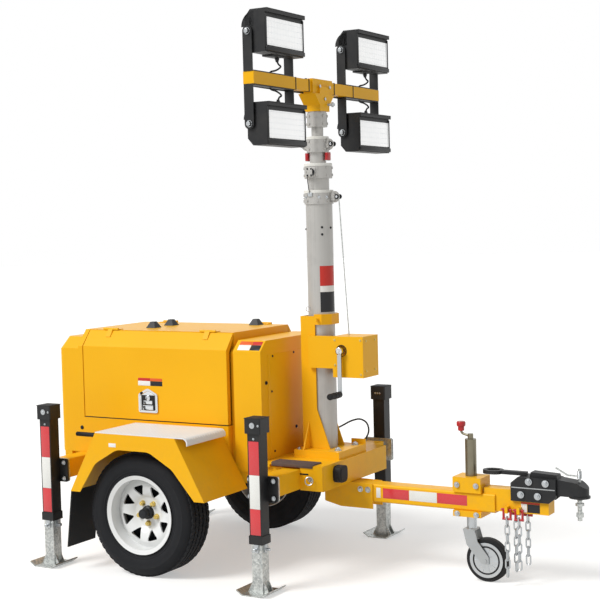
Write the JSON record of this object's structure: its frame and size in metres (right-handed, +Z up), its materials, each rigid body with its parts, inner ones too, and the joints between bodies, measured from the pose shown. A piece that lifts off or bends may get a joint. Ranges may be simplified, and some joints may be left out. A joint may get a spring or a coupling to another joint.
{
  "type": "mobile light tower",
  "caption": "Towed light tower: single axle trailer with a folded generator canopy, sliding outriggers with jacks, a winched telescopic mast and tilting floodlights.",
  "frame": {"origin": "on the ground, under the middle of the trailer's length and width", "axes": "+X forward to the coupling, +Y to the left side, +Z up"},
  "size_m": [2.958, 1.516, 2.841],
  "materials": {
    "black_powder_coat": "satin powder coat",
    "black_rubber": "moulded",
    "cable_sheath": "extruded",
    "dark_steel": "painted",
    "galvanised_steel": "zinc spangle",
    "grey_enamel": "satin enamel",
    "mast_aluminium": "drawn tube",
    "red_enamel": "gloss enamel",
    "step_aluminium": "chequer plate",
    "tyre_rubber": "moulded",
    "white_wheel_enamel": "gloss enamel",
    "yellow_powder_coat": "gloss powder coat"
  },
  "bodies": {
    "chassis": {"chassis_frame": "yellow_powder_coat", "front_deck": "yellow_powder_coat", "axle_springs": "dark_steel", "canopy": "yellow_powder_coat", "engine_block": "dark_steel", "control_cabinet": "yellow_powder_coat", "fenders": "yellow_powder_coat", "step_plates": "step_aluminium", "mudflaps": "black_rubber", "mast_support": "yellow_powder_coat", "winch_box": "yellow_powder_coat", "drawbar": "yellow_powder_coat", "drawbar_bracket": "yellow_powder_coat", "coupling": "black_powder_coat", "hitch_ball": "galvanised_steel", "jockey_sleeve": "galvanised_steel", "safety_chains": "galvanised_steel", "chain_shackles": "red_enamel", "mast_tube_1": "mast_aluminium", "coupling_lever": "galvanised_steel", "towing_eye": "black_powder_coat", "cable_loop": "cable_sheath", "winch_rope": "galvanised_steel", "roof_caps": "black_powder_coat", "crank_handle": "black_rubber"},
    "wheel_right": {"tyre_right": "tyre_rubber", "rim_right": "white_wheel_enamel"},
    "wheel_left": {"tyre_left": "tyre_rubber", "rim_left": "white_wheel_enamel"},
    "door_right": {"door_right": "yellow_powder_coat"},
    "door_left": {"door_left": "yellow_powder_coat"},
    "outrigger_front_right": {"outrigger_beam_front_right": "yellow_powder_coat", "jack_tube_front_right": "black_powder_coat"},
    "jack_leg_front_right": {"jack_leg_front_right": "galvanised_steel"},
    "outrigger_front_left": {"outrigger_beam_front_left": "yellow_powder_coat", "jack_tube_front_left": "black_powder_coat"},
    "jack_leg_front_left": {"jack_leg_front_left": "galvanised_steel"},
    "outrigger_rear_right": {"outrigger_beam_rear_right": "yellow_powder_coat", "jack_tube_rear_right": "black_powder_coat"},
    "jack_leg_rear_right": {"jack_leg_rear_right": "galvanised_steel"},
    "outrigger_rear_left": {"outrigger_beam_rear_left": "yellow_powder_coat", "jack_tube_rear_left": "black_powder_coat"},
    "jack_leg_rear_left": {"jack_leg_rear_left": "galvanised_steel"},
    "mast_section_2": {"mast_tube_2": "mast_aluminium"},
    "mast_section_3": {"mast_tube_3": "mast_aluminium"},
    "mast_head": {"mast_tube_4": "mast_aluminium", "crossbar": "yellow_powder_coat", "lamp_yokes": "black_powder_coat"},
    "floodlight_upper_right": {"floodlight_upper_right": "black_powder_coat"},
    "floodlight_lower_right": {"floodlight_lower_right": "black_powder_coat"},
    "floodlight_upper_left": {"floodlight_upper_left": "black_powder_coat"},
    "floodlight_lower_left": {"floodlight_lower_left": "black_powder_coat"},
    "winch_crank": {"winch_crank": "galvanised_steel"},
    "jockey_leg": {"jockey_leg": "galvanised_steel"},
    "jockey_fork": {"jockey_fork": "grey_enamel"},
    "jockey_wheel": {"jockey_wheel": "black_rubber"}
  },
  "joints": [
    {"name": "wheel_spin_right", "type": "hinge", "parent": "chassis", "child": "wheel_right", "pos_m": [-0.689, -0.6, 0.325], "axis": [0, 1, 0], "continuous": true},
    {"name": "wheel_spin_left", "type": "hinge", "parent": "chassis", "child": "wheel_left", "pos_m": [-0.689, 0.6, 0.325], "axis": [0, 1, 0], "continuous": true},
    {"name": "door_hinge_right", "type": "hinge", "parent": "chassis", "child": "door_right", "pos_m": [-0.689, -0.281, 1.247], "axis": [-1, 0, 0], "range_deg": [0, 80]},
    {"name": "door_hinge_left", "type": "hinge", "parent": "chassis", "child": "door_left", "pos_m": [-0.689, 0.281, 1.247], "axis": [1, 0, 0], "range_deg": [0, 80]},
    {"name": "outrigger_slide_front_right", "type": "slide", "parent": "chassis", "child": "outrigger_front_right", "axis": [0, -1, 0], "range_m": [0, 0.4]},
    {"name": "jack_slide_front_right", "type": "slide", "parent": "outrigger_front_right", "child": "jack_leg_front_right", "axis": [0, 0, 1], "range_m": [-0.15, 0.115]},
    {"name": "outrigger_slide_front_left", "type": "slide", "parent": "chassis", "child": "outrigger_front_left", "axis": [0, 1, 0], "range_m": [0, 0.4]},
    {"name": "jack_slide_front_left", "type": "slide", "parent": "outrigger_front_left", "child": "jack_leg_front_left", "axis": [0, 0, 1], "range_m": [-0.15, 0.115]},
    {"name": "outrigger_slide_rear_right", "type": "slide", "parent": "chassis", "child": "outrigger_rear_right", "axis": [0, -1, 0], "range_m": [0, 0.4]},
    {"name": "jack_slide_rear_right", "type": "slide", "parent": "outrigger_rear_right", "child": "jack_leg_rear_right", "axis": [0, 0, 1], "range_m": [-0.15, 0.115]},
    {"name": "outrigger_slide_rear_left", "type": "slide", "parent": "chassis", "child": "outrigger_rear_left", "axis": [0, 1, 0], "range_m": [0, 0.4]},
    {"name": "jack_slide_rear_left", "type": "slide", "parent": "outrigger_rear_left", "child": "jack_leg_rear_left", "axis": [0, 0, 1], "range_m": [-0.15, 0.115]},
    {"name": "mast_slide_2", "type": "slide", "parent": "chassis", "child": "mast_section_2", "axis": [0, 0, 1], "range_m": [0, 1.05]},
    {"name": "mast_slide_3", "type": "slide", "parent": "mast_section_2", "child": "mast_section_3", "axis": [0, 0, 1], "range_m": [0, 1.05]},
    {"name": "mast_slide_4", "type": "slide", "parent": "mast_section_3", "child": "mast_head", "axis": [0, 0, 1], "range_m": [0, 1.05]},
    {"name": "lamp_tilt_upper_right", "type": "hinge", "parent": "mast_head", "child": "floodlight_upper_right", "pos_m": [0.029, -0.469, 2.737], "axis": [0, 1, 0], "range_deg": [-30, 75]},
    {"name": "lamp_tilt_lower_right", "type": "hinge", "parent": "mast_head", "child": "floodlight_lower_right", "pos_m": [0.029, -0.469, 2.293], "axis": [0, 1, 0], "range_deg": [-30, 75]},
    {"name": "lamp_tilt_upper_left", "type": "hinge", "parent": "mast_head", "child": "floodlight_upper_left", "pos_m": [0.029, 0.469, 2.737], "axis": [0, 1, 0], "range_deg": [-30, 75]},
    {"name": "lamp_tilt_lower_left", "type": "hinge", "parent": "mast_head", "child": "floodlight_lower_left", "pos_m": [0.029, 0.469, 2.293], "axis": [0, 1, 0], "range_deg": [-30, 75]},
    {"name": "winch_crank_turn", "type": "hinge", "parent": "chassis", "child": "winch_crank", "pos_m": [0.2, -0.128, 1.145], "axis": [0, 1, 0], "continuous": true},
    {"name": "jockey_slide", "type": "slide", "parent": "chassis", "child": "jockey_leg", "axis": [0, 0, 1], "range_m": [-0.15, 0.055]},
    {"name": "jockey_swivel", "type": "hinge", "parent": "jockey_leg", "child": "jockey_fork", "pos_m": [0.867, 0, 0.262], "axis": [0, 0, 1], "continuous": true},
    {"name": "jockey_spin", "type": "hinge", "parent": "jockey_fork", "child": "jockey_wheel", "pos_m": [0.951, 0, 0.11], "axis": [0, 1, 0], "continuous": true}
  ],
  "couplings": [
    {"joint": "mast_slide_3", "follows": "mast_slide_2", "ratio": 1},
    {"joint": "mast_slide_4", "follows": "mast_slide_2", "ratio": 1}
  ]
}
